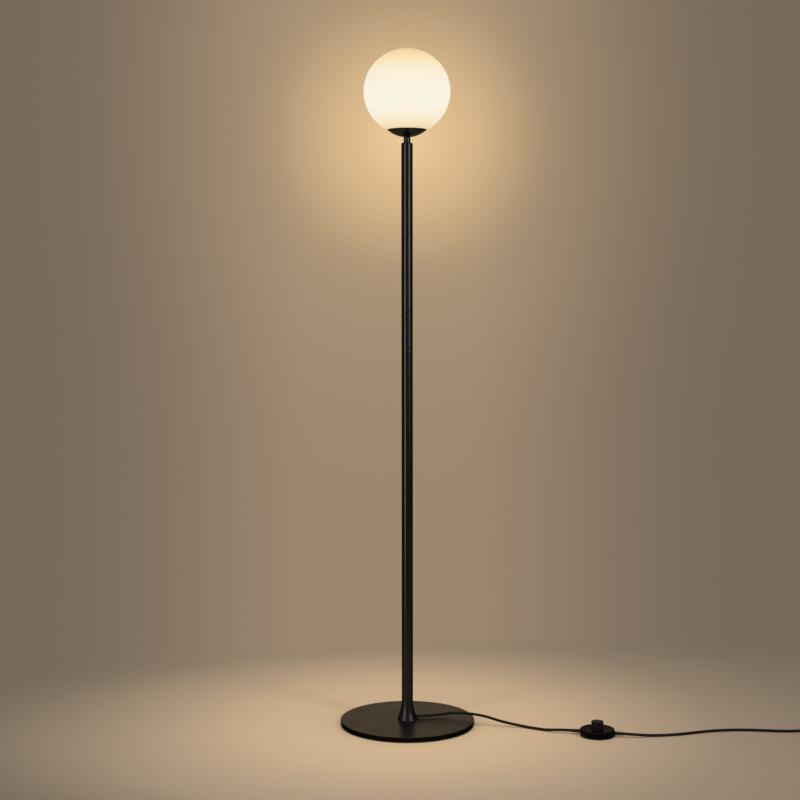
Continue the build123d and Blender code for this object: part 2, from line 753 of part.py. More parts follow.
def coil_place(turn):
    """A point of the coil and its direction, turn radians after the entry.

    It winds in on the floor layer, climbs a layer in a half turn while the winding
    reverses, and winds out again on top."""
    inward = 2 * pi * coil_turns_in
    rate = coil_pitch / (2 * pi)
    inner = coil_outer_radius - coil_pitch * coil_turns_in
    low = cord_radius + coil_lift
    if turn <= inward:
        reach, slope, height, climb = coil_outer_radius - rate * turn, -rate, low, 0.0
    elif turn <= inward + pi:
        past = turn - inward
        reach = inner - rate * (past - past**2 / pi)
        slope = -rate * (1 - 2 * past / pi)
        share = past / pi
        height = low + coil_layer_rise * share**2 * (3 - 2 * share)
        climb = coil_layer_rise * 6 * share * (1 - share) / pi
    else:
        past = turn - inward - pi
        reach, slope, height, climb = inner + rate * past, rate, low + coil_layer_rise, 0.0
    angle = turn - pi / 2
    point = Vector(coil_x + reach * cos(angle), coil_y + reach * sin(angle), height)
    way = Vector(slope * cos(angle) - reach * sin(angle),
                 slope * sin(angle) + reach * cos(angle), climb)
    return point, way.normalized()


def coil_gap(path):
    """The least gap between the coil's surface and itself, from points along it."""
    count = 1400
    points = [path @ (index / count) for index in range(count + 1)]
    step = path.length / count
    skip = int(4 * cord_radius / step) + 1
    least = min(
        (points[i] - points[j]).length
        for i in range(0, count + 1, 2) for j in range(i + skip, count + 1)
    )
    return least - 2 * cord_radius


def make_coil():
    """The spare cord, wound into a round coil in two layers, and its tie."""
    quarter = pi / 2
    count = round((coil_turns_in + 0.5 + coil_turns_out) * 4)
    places = [coil_place(index * quarter) for index in range(count + 1)]
    # Both ends run straight for a diameter, along +X at the entry and +Y at the end.
    entry, leave = Vector(1, 0, 0), Vector(0, 1, 0)
    places[0] = (places[0][0], entry)
    places[-1] = (places[-1][0], leave)
    edges = [Edge.make_line(places[0][0] - entry * 2 * cord_radius, places[0][0])]
    for (start, start_way), (end, end_way) in zip(places, places[1:]):
        edges += biarc(start, start_way, end, end_way)
    edges.append(Edge.make_line(places[-1][0], places[-1][0] + leave * 2 * cord_radius))
    path = Wire(edges)
    coil = swept(path, cord_radius)
    expected = pi * cord_radius**2 * path.length
    print("cord_coil length", round(path.length, 1), "turns", count / 4,
          "least gap", round(coil_gap(path), 2))
    print("cord_coil volume over section x length", round(coil.volume / expected, 5))
    parts["cord_coil"] = coil

    start = places[-1][0] + leave * 2 * cord_radius
    plug_z = plug_thickness / 2
    relief_end = plug_y - relief_length - 2
    tail_route = [
        tuple(start),
        (start.X, start.Y + 21, start.Z),
        (plug_x, relief_end - 21, plug_z),
        (plug_x, relief_end, plug_z),
    ]
    parts["cord_tail"] = cord_run("cord_tail", tail_route)

    inner = coil_outer_radius - coil_pitch * coil_turns_in - cord_radius
    outer = coil_outer_radius + cord_radius
    low, high = coil_lift, coil_lift + 2 * cord_radius + coil_layer_rise
    inside = (inner - 0.7, outer - 2.6, low - 0.3, high + 0.3)
    middle = Pos((inside[0] + inside[1]) / 2, 0, (inside[2] + inside[3]) / 2)
    span, tall = inside[1] - inside[0], inside[3] - inside[2]
    section = RectangleRounded(span + 2 * tie_thickness, tall + 2 * tie_thickness, 3.2)
    section -= RectangleRounded(span, tall, 3.2 - tie_thickness)
    band = extrude(Plane.XZ * section, tie_width / 2, both=True)
    parts["cord_tie"] = Pos(coil_x, coil_y, 0) * Rot(0, 0, tie_angle) * middle * band


# ---------------------------------------------------------------- plug
def make_plug():
    """A flat two-pin plug that lies on its side, pins along +Y."""
    place = Pos(plug_x, plug_y, plug_thickness / 2)
    taper_end = plug_length - plug_shoulder
    outline = Polyline(
        (-plug_rear_half_width, 0), (plug_rear_half_width, 0), (plug_half_width, taper_end),
        (plug_half_width, plug_length), (-plug_half_width, plug_length),
        (-plug_half_width, taper_end), close=True)
    body = extrude(make_face(outline), plug_thickness / 2, both=True)
    body = fillet(body.edges().filter_by(Axis.Z), 3.0)
    rims = body.edges().filter_by(lambda edge: abs(edge.center().Z) > plug_thickness / 2 - 0.1)
    body = fillet(rims, 1.8)
    parts["plug_body"] = place * body

    relief = turned([
        (0, 0), (relief_tip_radius, 0), (relief_root_radius + 1.2, relief_length),
        (relief_root_radius + 1.2, relief_length + 2), (0, relief_length + 2),
    ])
    for index in range(5):
        low = 3 + 3.2 * index
        relief -= ring(relief_root_radius + 3, relief_tip_radius - 0.1, low, low + 1.3)
    along_y = Pos(0, -relief_length - 2, 0) * Rot(-90, 0, 0)
    parts["plug_relief"] = place * along_y * relief

    pins, sleeves = [], []
    for side in (-1, 1):
        at = place * Pos(side * pin_spacing / 2, plug_length, 0) * Rot(-90, 0, 0)
        sleeves.append(at * disc(pin_radius, 0, pin_sleeve_length))
        pin = disc(pin_radius, pin_sleeve_length, pin_length)
        pin = fillet(pin.edges().sort_by(Axis.Z)[-1], pin_radius * 0.6)
        pins.append(at * pin)
    parts["plug_pins"] = group(pins)
    parts["plug_pin_sleeves"] = group(sleeves)


make_base()
make_foot()
make_pole()
make_cup()
make_globe()
make_lampholder()
make_inner_flex()
make_bulb()
make_switch()
make_cord_runs()
make_coil()
make_plug()

os.makedirs("parts", exist_ok=True)
for name, shape in parts.items():
    export_step(shape, f"parts/{name}.step")
print(len(parts), "nodes; overall height", round(globe_centre + globe_half_height, 1))
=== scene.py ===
# %% [markdown]
# # A globe floor lamp
# A round black base, a flared foot, a slim pole, a shallow cup and a lit globe of opal glass.
# A black cord runs over the base to a round foot switch and on to a coil and a plug.
# The measured CAD model is loaded first. It fixes every size, so each piece made here goes
# exactly where its solid lies, and the pieces whose solids look right only get a finish.

# %% Load the measured lamp
import json
from math import acos, asin, atan2, cos, degrees, hypot, pi, radians, sin, sqrt

import bpy
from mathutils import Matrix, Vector


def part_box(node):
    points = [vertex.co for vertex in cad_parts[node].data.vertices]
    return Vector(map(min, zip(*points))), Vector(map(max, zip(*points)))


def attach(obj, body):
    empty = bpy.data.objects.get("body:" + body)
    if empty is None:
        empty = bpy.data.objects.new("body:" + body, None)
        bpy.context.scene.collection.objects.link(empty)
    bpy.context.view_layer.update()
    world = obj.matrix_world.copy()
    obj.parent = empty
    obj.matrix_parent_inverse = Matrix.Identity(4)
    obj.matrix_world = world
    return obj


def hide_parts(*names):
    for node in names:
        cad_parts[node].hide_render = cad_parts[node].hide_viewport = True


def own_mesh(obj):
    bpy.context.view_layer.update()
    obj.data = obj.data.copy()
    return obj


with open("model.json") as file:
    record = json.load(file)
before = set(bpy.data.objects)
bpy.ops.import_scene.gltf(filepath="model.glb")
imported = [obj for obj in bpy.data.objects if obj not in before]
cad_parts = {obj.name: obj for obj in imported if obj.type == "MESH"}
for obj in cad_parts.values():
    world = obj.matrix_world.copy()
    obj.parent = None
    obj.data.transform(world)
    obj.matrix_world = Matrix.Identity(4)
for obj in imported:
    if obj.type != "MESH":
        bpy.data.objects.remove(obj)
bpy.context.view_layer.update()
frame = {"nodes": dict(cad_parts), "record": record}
cad = frame["nodes"]
scene = bpy.context.scene
bpy.ops.object.select_all(action="DESELECT")
print("solids loaded:", len(cad))

# %% [markdown]
# ## The camera
# The picture was taken from about 3.4 m away at the height of the pole's middle, with a long
# lens, tilted a little down. The base's ellipse gives the tilt, and the sizes of the base and
# the globe give the distance. The lens is set for a picture that is as wide as it is tall.

# %% Camera
tilt_down, roll = 3.954, 0.06
camera_data = bpy.data.cameras.new("camera")
camera_data.sensor_width = 36.0
camera_data.lens = 68.42
camera = bpy.data.objects.new("camera", camera_data)
scene.collection.objects.link(camera)
camera.location = (-0.0157, -3.361, 0.962)
camera.rotation_euler = (radians(90 - tilt_down), radians(roll), 0)
scene.camera = camera
scene.view_settings.view_transform = "Standard"
print("camera", tuple(round(value, 3) for value in camera.location))

# %% [markdown]
# ## Helpers for finishes
# A finish is one Principled shader. What is the same all over is set on the shader's own
# sockets. What varies, such as the tone, the roughness and the relief, comes from noise that
# reads Object coordinates, which are metres here, so a scale of 800 gives grains of a
# millimetre or so on every piece.


# %% Finish helpers
def shader_of(finish):
    return finish.node_tree.nodes["Principled BSDF"]


def even(finish, socket, value):
    """Sets what is the same all over."""
    shader_of(finish).inputs[socket].default_value = value


def new_finish(name, colour, roughness, metallic=0.0):
    finish = bpy.data.materials.new(name)
    finish.use_nodes = True
    even(finish, "Base Color", (*colour, 1))
    even(finish, "Roughness", roughness)
    even(finish, "Metallic", metallic)
    print("finish", name)
    return finish


def dull(finish, level):
    """How much the surface mirrors: 0.5 is bare glass or plastic, and 0 mirrors nothing."""
    even(finish, "Specular IOR Level", level)


# %% [markdown]
# What varies is made with nodes, each joined to the next. Most of them start from where a
# point of the piece is.


# %% Nodes
def add(finish, kind, **settings):
    """A new node; a setting goes to the socket of that name, or else to the node itself."""
    node = finish.node_tree.nodes.new(kind)
    for key, value in settings.items():
        socket = key.replace("_", " ").title()
        if socket in node.inputs:
            node.inputs[socket].default_value = value
        else:
            setattr(node, key, value)
    return node


def join(finish, source, target):
    finish.node_tree.links.new(source, target)


def place_of(finish, stretch=(1, 1, 1), turn=0.0):
    """Where a point of the piece is, stretched along the axes and turned about Z."""
    here = add(finish, "ShaderNodeTexCoord").outputs["Object"]
    if stretch == (1, 1, 1) and not turn:
        return here
    mapping = add(finish, "ShaderNodeMapping", scale=stretch, rotation=(0, 0, turn))
    join(finish, here, mapping.inputs["Vector"])
    return mapping.outputs["Vector"]


def noise(finish, scale, detail=3.0, stretch=(1, 1, 1)):
    cloud = add(finish, "ShaderNodeTexNoise", scale=scale, detail=detail)
    join(finish, place_of(finish, stretch), cloud.inputs["Vector"])
    return cloud.outputs["Fac"]


def ranged(finish, source, low, high, start=0.35, end=0.65):
    """A value from low to high as the source goes from start to end."""
    span = add(finish, "ShaderNodeMapRange", from_min=start, from_max=end,
               to_min=low, to_max=high)
    join(finish, source, span.inputs["Value"])
    return span.outputs["Result"]


def ramp(finish, source, *stops, blend=None):
    """A colour ramp through (position, colour) stops."""
    node = add(finish, "ShaderNodeValToRGB")
    node.color_ramp.interpolation = blend or ("EASE" if len(stops) == 2 else "LINEAR")
    while len(node.color_ramp.elements) < len(stops):
        node.color_ramp.elements.new(0.5)
    for element, (position, colour) in zip(node.color_ramp.elements, stops):
        element.position = position
        element.color = (*colour, 1)
    join(finish, source, node.inputs["Fac"])
    return node.outputs["Color"]


# %% [markdown]
# These set what varies on nearly every finish. Most tones only drift a little, so that has a
# helper of its own.


# %% Tone, roughness and relief
def tone(finish, source, *stops):
    join(finish, ramp(finish, source, *stops), shader_of(finish).inputs["Base Color"])


def drift(finish, scale, dark, light):
    """The tone drifts from dark to light; a larger scale makes smaller clouds."""
    tone(finish, noise(finish, scale), (0.35, dark), (0.65, light))


def wear(finish, scale, detail, low, high):
    """The roughness drifts from low to high."""
    rough = ranged(finish, noise(finish, scale, detail), low, high)
    join(finish, rough, shader_of(finish).inputs["Roughness"])


def relief(finish, source, depth, strength):
    """A bump as deep as depth, in metres."""
    bump = add(finish, "ShaderNodeBump", strength=strength, distance=depth)
    join(finish, source, bump.inputs["Height"])
    join(finish, bump.outputs["Normal"], shader_of(finish).inputs["Normal"])


# %% [markdown]
# ## Painted metal
# The base and the pole are powder coated: the baked powder leaves a satin black skin with a
# very fine orange peel. The neck and the cup are smoother and shinier, so their highlights
# are narrow and bright.
#
# A coat of paint mirrors what lies behind it along its edges, whatever its colour. In the
# photograph the edges of the pole and the foot, and the rim of the base, stay black. So the
# pole and the foot are shaded as a dark metal: its colour is how much it mirrors face on, and
# its specular tint is how much it mirrors near the edge. The base's rim is a darker copy of
# this metal, set apart from the top's coat: that is painted shade, as the real coat is the
# same all over.


# %% Painted metal
orange_peel, peel_depth = 1300, 0.00003


def grey(level):
    return (level, level, level)


def black_edged(name, dark, light, low, high, cloud=14, edge=0.05):
    """A dark metal that mirrors only the edge share of what lies behind it near its edges."""
    finish = new_finish(name, dark, (low + high) / 2, metallic=1.0)
    drift(finish, cloud, dark, light)
    wear(finish, 40, 5, low, high)
    even(finish, "Specular Tint", (*grey(edge), 1))
    return finish


powder_coat = new_finish("powder_coat", grey(0.003), 0.33)
drift(powder_coat, 14, grey(0.0024), (0.0034, 0.0032, 0.0032))
wear(powder_coat, 40, 5, 0.30, 0.36)
relief(powder_coat, noise(powder_coat, orange_peel, 2), peel_depth, 0.12)
dull(powder_coat, 0.25)

pole_paint = black_edged("pole_paint", grey(0.027), grey(0.031), 0.25, 0.29)
relief(pole_paint, noise(pole_paint, orange_peel, 2), 0.00002, 0.05)
# The rim's finish is a darker copy of the base's coat: painted shade on the upright side.
rim_painted_shade = black_edged("rim_painted_shade", (0.0050, 0.0043, 0.0036), (0.0064, 0.0055, 0.0046),
                        0.30, 0.36, edge=0.3)
relief(rim_painted_shade, noise(rim_painted_shade, orange_peel, 2), peel_depth, 0.12)
foot_paint = black_edged("foot_paint", grey(0.026), grey(0.032), 0.32, 0.37, cloud=30)
relief(foot_paint, noise(foot_paint, 900, 2), peel_depth, 0.12)

gloss_black = new_finish("gloss_black", grey(0.003), 0.2)
drift(gloss_black, 30, grey(0.0025), grey(0.0035))
wear(gloss_black, 60, 4, 0.18, 0.22)
relief(gloss_black, noise(gloss_black, 420, 2), peel_depth, 0.08)
dull(gloss_black, 0.28)

# %% [markdown]
# ## Rubber, cord sheath and moulded plastic
# The cord's sheath is smooth PVC with a faint waviness along it. The strain reliefs are softer
# and duller. The switch is moulded in black plastic with a fine spark-eroded texture, and its
# button is a shade lighter and a little warmer, as the photograph shows.

# %% Rubber and plastic
cord_sheath = new_finish("cord_sheath", grey(0.0025), 0.42)
drift(cord_sheath, 60, grey(0.0020), (0.0030, 0.0029, 0.0027))
wear(cord_sheath, 220, 4, 0.36, 0.48)
relief(cord_sheath, noise(cord_sheath, 500, 3), 0.00005, 0.2)
dull(cord_sheath, 0.13)

black_rubber = new_finish("black_rubber", grey(0.006), 0.62)
drift(black_rubber, 90, grey(0.005), grey(0.008))
relief(black_rubber, noise(black_rubber, 1500, 3), 0.00006, 0.3)
dull(black_rubber, 0.25)

foam_pad = new_finish("foam_pad", grey(0.008), 0.95)
foam_cells = add(foam_pad, "ShaderNodeTexVoronoi", scale=900.0)
join(foam_pad, place_of(foam_pad), foam_cells.inputs["Vector"])
tone(foam_pad, foam_cells.outputs["Distance"], (0.0, grey(0.003)), (0.6, grey(0.012)))
relief(foam_pad, foam_cells.outputs["Distance"], 0.0004, 0.6)


def moulded(name, dark, light, low, high, grain=1800):
    """Moulded plastic: an even tone, and the fine grain of the mould."""
    finish = new_finish(name, dark, (low + high) / 2)
    drift(finish, 35, dark, light)
    wear(finish, 90, 4, low, high)
    relief(finish, noise(finish, grain, 4), 0.00006, 0.35)
    return finish


switch_plastic = moulded("switch_plastic", (0.0014, 0.0018, 0.0016), (0.002, 0.0026, 0.0024),
                         0.32, 0.4)
button_plastic = moulded("button_plastic", (0.0052, 0.0034, 0.0044), (0.0072, 0.0048, 0.0062),
                         0.36, 0.46)
plug_plastic = moulded("plug_plastic", grey(0.006), grey(0.008), 0.34, 0.44)
for finish, level in ((switch_plastic, 0.03), (button_plastic, 0.07), (plug_plastic, 0.3)):
    dull(finish, level)
holder_plastic = moulded("holder_plastic", grey(0.017), (0.026, 0.025, 0.024), 0.28, 0.4,
                         grain=700)
white_plastic = moulded("white_plastic", (0.80, 0.79, 0.76), (0.88, 0.87, 0.85), 0.4, 0.5)

# %% [markdown]
# ## Wires, board and chips
# Inside the lampholder one wire is brown and the other blue. The tone turns from one to the
# other at the lamp's middle, where no wire lies. The bulb's round board is white, with yellow
# chips that glow.


# %% Wires, board and chips
def split(finish, source):
    """The X, Y and Z of a place or a direction."""
    parts = add(finish, "ShaderNodeSeparateXYZ")
    join(finish, source, parts.inputs["Vector"])
    return parts.outputs


wire_insulation = new_finish("wire_insulation", (0.2, 0.07, 0.03), 0.4)
side = split(wire_insulation, place_of(wire_insulation))["X"]
tone(wire_insulation, ranged(wire_insulation, side, 0, 1, -0.0005, 0.0005),
     (0.45, (0.20, 0.075, 0.03)), (0.55, (0.03, 0.12, 0.42)))
wear(wire_insulation, 400, 3, 0.32, 0.45)

led_board = new_finish("led_board", grey(0.85), 0.4)
drift(led_board, 300, (0.80, 0.80, 0.79), grey(0.88))

led_chip = new_finish("led_chip", (0.95, 0.75, 0.2), 0.3)
drift(led_chip, 800, (0.90, 0.68, 0.16), (0.95, 0.78, 0.26))
even(led_chip, "Emission Color", (1.0, 0.82, 0.5, 1))
even(led_chip, "Emission Strength", 1.0)

# %% [markdown]
# ## Bare metals
# The plated steel has the cloudy tone of zinc, the springs are bright steel, the contacts are
# plain brass with a little tarnish, and the bulb's cap and the plug's pins are nickel plated.
# Each is a metal whose colour and roughness drift slowly, over a fine turned or rolled grain.


# %% Bare metals
def metal(name, dark, light, low, high, cloud=60, grain=(1, 1, 1)):
    finish = new_finish(name, dark, (low + high) / 2, metallic=1.0)
    tone(finish, noise(finish, cloud, 5), (0.3, dark), (0.7, light))
    wear(finish, 160, 5, low, high)
    relief(finish, noise(finish, 900, 3, stretch=grain), 0.00003, 0.2)
    return finish


plated_steel = metal("plated_steel", (0.50, 0.51, 0.53), (0.66, 0.66, 0.64), 0.28, 0.42, 120)
spring_steel = metal("spring_steel", (0.48, 0.48, 0.50), (0.60, 0.60, 0.61), 0.2, 0.32)
brass = metal("brass", (0.62, 0.43, 0.18), (0.80, 0.60, 0.30), 0.24, 0.4)
brass_nickel = metal("brass_nickel", (0.66, 0.64, 0.60), (0.76, 0.74, 0.70), 0.18, 0.3, 90,
                     grain=(1, 1, 6))

# %% [markdown]
# ## The lit glass
# Opal glass scatters the bulb's light so well that the globe glows all over: nearly white at
# mid height, where the bulb is, and warmer towards the top and the cup. The glow is painted
# by height alone, so it is right from every side. The glass's own colour is kept dark, so the
# lamps add little to the glow. It mirrors nothing either: the photograph shows no reflection
# in it, and seen from behind, its outline would sparkle where it catches the softboxes.


# %% Lit glass and lit bulb
def glow_by_height(finish, low, high, *stops):
    """A glow whose colour changes with height, from low to high in metres."""
    share = ranged(finish, split(finish, place_of(finish))["Z"], 0, 1, low, high)
    join(finish, ramp(finish, share, *stops), shader_of(finish).inputs["Emission Color"])
    even(finish, "Emission Strength", 1.0)


globe_low, globe_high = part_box("glass_globe_lower")[0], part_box("glass_globe_upper")[1]
opal_glass = new_finish("opal_glass", (0.07, 0.067, 0.06), 0.5)
tone(opal_glass, noise(opal_glass, 25, 2),
     (0.3, (0.068, 0.065, 0.058)), (0.7, (0.072, 0.069, 0.062)))
wear(opal_glass, 70, 3, 0.46, 0.54)
glow_by_height(
    opal_glass, globe_low.z, globe_high.z,
    (0.00, (0.86, 0.60, 0.36)), (0.08, (0.91, 0.76, 0.52)), (0.17, (0.91, 0.82, 0.665)),
    (0.28, (0.90, 0.85, 0.72)), (0.50, (0.88, 0.83, 0.68)), (0.66, (0.87, 0.78, 0.60)),
    (0.80, (0.85, 0.70, 0.45)), (0.90, (0.83, 0.60, 0.31)), (1.00, (0.78, 0.46, 0.20)))
dull(opal_glass, 0.0)

bulb_low, bulb_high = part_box("bulb_diffuser")
diffuser_plastic = new_finish("diffuser_plastic", (0.5, 0.49, 0.46), 0.45)
tone(diffuser_plastic, noise(diffuser_plastic, 60, 2),
     (0.3, (0.48, 0.47, 0.44)), (0.7, (0.52, 0.51, 0.48)))
glow_by_height(
    diffuser_plastic, bulb_low.z, bulb_high.z,
    (0.00, (0.70, 0.52, 0.30)), (0.25, (0.92, 0.80, 0.58)), (1.00, (1.0, 0.93, 0.78)))

# %% [markdown]
# ## The strap's weave
# The spare cord is tied with a woven strap of hooks and loops. A wave turned to the strap's
# own direction makes its ribs, and a fine noise roughens them as fibres do.


# %% Strap weave
def calculate(finish, operation, *values):
    """Arithmetic on plain numbers and on what other nodes give."""
    node = add(finish, "ShaderNodeMath", operation=operation)
    for socket, value in zip(node.inputs, values):
        if isinstance(value, bpy.types.NodeSocket):
            join(finish, value, socket)
        else:
            socket.default_value = value
    return node.outputs["Value"]


strap_turn = radians(135.0)
tie_strap = new_finish("tie_strap", grey(0.02), 0.85)
rib = add(tie_strap, "ShaderNodeTexWave", scale=330.0, distortion=0.6, bands_direction="Y")
join(tie_strap, place_of(tie_strap, turn=-strap_turn), rib.inputs["Vector"])
tone(tie_strap, rib.outputs["Fac"], (0.2, grey(0.010)), (0.8, (0.034, 0.034, 0.033)))
fibre = noise(tie_strap, 2600, 3)
relief(tie_strap, calculate(tie_strap, "MULTIPLY_ADD", fibre, 0.5, rib.outputs["Fac"]),
       0.0003, 0.7)
even(tie_strap, "Sheen Weight", 0.3)

# %% [markdown]
# ## Finishes for the solids that stay
# The record names a finish for every solid. The finish goes on the solid's own slot, and its
# mesh is left alone. Blender numbers a finish whose name the frame has used already, so the
# number is cut off again here. The pole, the foot and the button look different from the
# other pieces of their slots, and get their own finishes last.

# %% Paint the solids
finishes = {finish.name.split(".")[0]: finish for finish in (
    powder_coat, gloss_black, cord_sheath, black_rubber, foam_pad, switch_plastic, plug_plastic,
    holder_plastic, white_plastic, wire_insulation, led_board, led_chip, plated_steel,
    spring_steel, brass, brass_nickel, opal_glass, diffuser_plastic, tie_strap)}
slot_of = {row["node"]: row["material_slot"] for row in frame["record"]["subparts"]}


def paint(piece, finish):
    piece.data.materials.clear()
    piece.data.materials.append(finish)


for name, solid in cad.items():
    paint(solid, finishes[slot_of[name]])
for name in ("pole_lower", "pole_middle", "pole_upper", "pole_cap"):
    paint(cad[name], pole_paint)
paint(cad["stem_foot"], foot_paint)
paint(cad["switch_button"], button_plastic)
print("finishes:", len(finishes))

# %% [markdown]
# ## Helpers for modelling by hand
# Most of the lamp is turned on a lathe. A ring of points is added at the first corner of the
# outline, and is then extruded, widened and lifted from one corner to the next, as one does
# with E, S and G. A corner on the axis is merged to one point, which closes the shape there.
# Doubles are merged and the faces are turned outwards before the piece leaves edit mode, and
# its place is applied, so that every piece has its origin at the middle of the base.


# %% Modelling helpers
smooth_below = radians(35)


def start_piece():
    """Nothing is selected, and in edit mode points are picked, not edges or faces."""
    bpy.ops.object.select_all(action="DESELECT")
    scene.tool_settings.mesh_select_mode = (True, False, False)


def take(piece):
    """Only this piece is selected, and it is the active one."""
    start_piece()
    piece.select_set(True)
    bpy.context.view_layer.objects.active = piece


def apply_place():
    """The place, turn and size of the active piece go into its mesh."""
    bpy.ops.object.transform_apply(location=True, rotation=True, scale=True)


def end_piece(name):
    """Merges doubles, turns the faces outwards and leaves edit mode."""
    bpy.ops.mesh.select_all(action="SELECT")
    bpy.ops.mesh.remove_doubles(threshold=0.000002)
    bpy.ops.mesh.normals_make_consistent(inside=False)
    bpy.ops.object.mode_set(mode="OBJECT")
    apply_place()
    piece = bpy.context.active_object
    piece.name = piece.data.name = name
    return piece


def turned(name, outline, centre=(0.0, 0.0), points=96, filled=False):
    """A piece turned about an upright axis, from its outline's (radius, height) corners.

    The first ring is filled where the piece is closed there, as a disc's underside is."""
    start_piece()
    x, y = centre
    radius, height = outline[0]
    bpy.ops.mesh.primitive_circle_add(vertices=points, radius=radius, location=(x, y, height),
                                      fill_type="NGON" if filled else "NOTHING")
    bpy.ops.object.mode_set(mode="EDIT")
    bpy.ops.mesh.select_all(action="SELECT")
    for next_radius, next_height in outline[1:]:
        bpy.ops.mesh.extrude_edges_move()
        if next_radius == 0:
            bpy.ops.mesh.merge(type="CENTER")
        else:
            size = next_radius / radius
            bpy.ops.transform.resize(value=(size, size, 1), center_override=(x, y, height))
        bpy.ops.transform.translate(value=(0, 0, next_height - height))
        radius, height = next_radius, next_height
    return end_piece(name)


def apply_modifier(piece, kind, **settings):
    bpy.context.view_layer.objects.active = piece
    modifier = piece.modifiers.new(kind.lower(), kind)
    for key, value in settings.items():
        setattr(modifier, key, value)
    bpy.ops.object.modifier_apply(modifier=modifier.name)


def soften(piece, width, segments=2, angle=30.0):
    """Rounds the edges that turn by more than the angle, and shades the rest smooth."""
    take(piece)
    apply_modifier(piece, "BEVEL", width=width, segments=segments, limit_method="ANGLE",
                   angle_limit=radians(angle))
    bpy.ops.object.shade_smooth_by_angle(angle=smooth_below)
    return piece


# %% [markdown]
# Outlines are lists of corners, and an arc gives the corners of a round. A finished piece is
# painted, put on the body that it moves with, and shown in place of its solids.


# %% Outlines, and seating a piece
def arc(middle, radius, start, end, steps):
    """Points of an arc of an outline, from one angle to another, in degrees."""
    angles = [radians(start + (end - start) * step / steps) for step in range(steps + 1)]
    return [(middle[0] + radius * cos(angle), middle[1] + radius * sin(angle))
            for angle in angles]


def seat(piece, body, finish, slot, *stands_for):
    """Paints a piece, puts it on its body and hides the solids that it stands for."""
    paint(piece, finish)
    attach(piece, body)
    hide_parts(*stands_for)
    print(piece.name, "stands for", ", ".join(stands_for))
    return piece


# %% [markdown]
# ## The cord, from the foot to the switch
# A cord is a fixed length of something that bends, so it is drawn as one smooth spline: its
# control points are the route that the photograph shows. It leaves the foot straight, rises
# over the base's edge, comes down to the floor and runs to the switch. The order and the end
# points are set after the points are added, because set before, the spline stays straight
# from point to point.

# %% Lay a cord
MM = 0.001
cord_radius = 3.0


def lay_cord(name, route):
    """A cord along a route in millimetres."""
    curve = bpy.data.curves.new(name, "CURVE")
    curve.dimensions = "3D"
    line = curve.splines.new("NURBS")
    line.points.add(len(route) - 1)
    for point, (x, y, z) in zip(line.points, route):
        point.co = (x * MM, y * MM, z * MM, 1)
    line.use_endpoint_u = True
    line.order_u = 3
    line.resolution_u = curve.resolution_u = 8
    curve.bevel_depth = cord_radius * MM
    curve.bevel_resolution = 5
    curve.use_fill_caps = True
    piece = bpy.data.objects.new(name, curve)
    scene.collection.objects.link(piece)
    return piece


lamp_route = [
    (37.63, 5.29, 17.0), (62.39, 8.77, 17.0), (89.0, 15.5, 19.4), (117.0, 5.0, 23.4),
    (147.0, -5.5, 23.8), (175.0, -12.5, 20.4), (201.0, -21.5, 13.8), (227.0, -25.5, 8.0),
    (253.0, -31.0, 4.0), (280.0, -46.5, 3.0), (307.0, -62.0, 3.2), (334.29, -73.62, 7.5),
    (358.60, -79.46, 7.5),
]
lamp_cord = seat(lay_cord("cord_to_switch", lamp_route), "stand", cord_sheath, "cord_sheath",
                 "cord_lamp_run")

# %% [markdown]
# ## The cord, from the switch to the plug
# The second stretch curves along the floor to the edge of the picture. Just past it, the
# spare length is wound into a coil: two turns in on the floor, a half turn that climbs a
# layer while the winding turns round, and nearly two turns out again on top. The spline cuts
# a little inside its control points, so the coil's points stand 2 % further out.

# %% The coil's turns
coil_centre = (935.0, -25.0)
coil_outer, coil_pitch, coil_low, coil_rise = 41.2, 6.6, 4.2, 6.5
turns_in, turns_up, turns_out, points_per_turn = 2.0, 0.5, 1.75, 16
stand_out = 1.02


def coil_points():
    inner = coil_outer - coil_pitch * turns_in
    points = []
    for index in range(round((turns_in + turns_up + turns_out) * points_per_turn) + 1):
        turn = index / points_per_turn
        past = turn - turns_in
        if past <= 0:
            reach, height = coil_outer - coil_pitch * turn, coil_low
        elif past <= turns_up:
            share = past / turns_up
            reach = inner - coil_pitch * (past - past ** 2 / turns_up)
            height = coil_low + coil_rise * share ** 2 * (3 - 2 * share)
        else:
            reach, height = inner + coil_pitch * (past - turns_up), coil_low + coil_rise
        reach *= stand_out
        angle = 2 * pi * turn - pi / 2
        points.append((coil_centre[0] + reach * cos(angle), coil_centre[1] + reach * sin(angle),
                       height))
    return points


print("points along the coil:", len(coil_points()))

# %% The second cord
switch_route = [
    (471.40, -106.54, 7.5), (494.73, -112.14, 7.5), (521.0, -106.5, 4.2), (549.0, -103.0, 3.0),
    (578.0, -98.5, 3.0), (607.0, -90.5, 3.0), (636.0, -79.5, 3.0), (664.0, -70.0, 3.0),
    (693.0, -64.0, 3.0), (723.0, -61.0, 3.0), (753.0, -62.0, 3.0), (783.0, -65.5, 3.0),
    (813.0, -70.0, 3.0), (843.0, -71.5, 3.0), (873.0, -68.5, 3.4), (902.0, -66.2, 4.2),
]
tail_route = [
    (974.55, -19.0, 10.7), (974.55, 2.0, 10.7), (976.0, 25.0, 7.0), (976.0, 46.0, 7.0)]
plug_cord = seat(lay_cord("cord_to_plug", switch_route + coil_points() + tail_route), "stand",
                 cord_sheath, "cord_sheath", "cord_switch_run", "cord_coil", "cord_tail")

# %% [markdown]
# ## Picking faces and edges
# A box is shaped by its faces and edges. Picked by points, two end faces would take the whole
# box with them, so the right select mode is set first, and each face or edge is then picked
# by its normal or its ends.


# %% Picking faces and edges
facing, apart = 0.9, 0.0001


def select_faces(piece, test):
    """Selects the faces whose normal and middle pass a test, in edit mode."""
    bpy.ops.mesh.select_mode(type="FACE")
    bpy.ops.mesh.select_all(action="DESELECT")
    bpy.ops.object.mode_set(mode="OBJECT")
    for face in piece.data.polygons:
        face.select = test(face.normal, face.center)
    bpy.ops.object.mode_set(mode="EDIT")


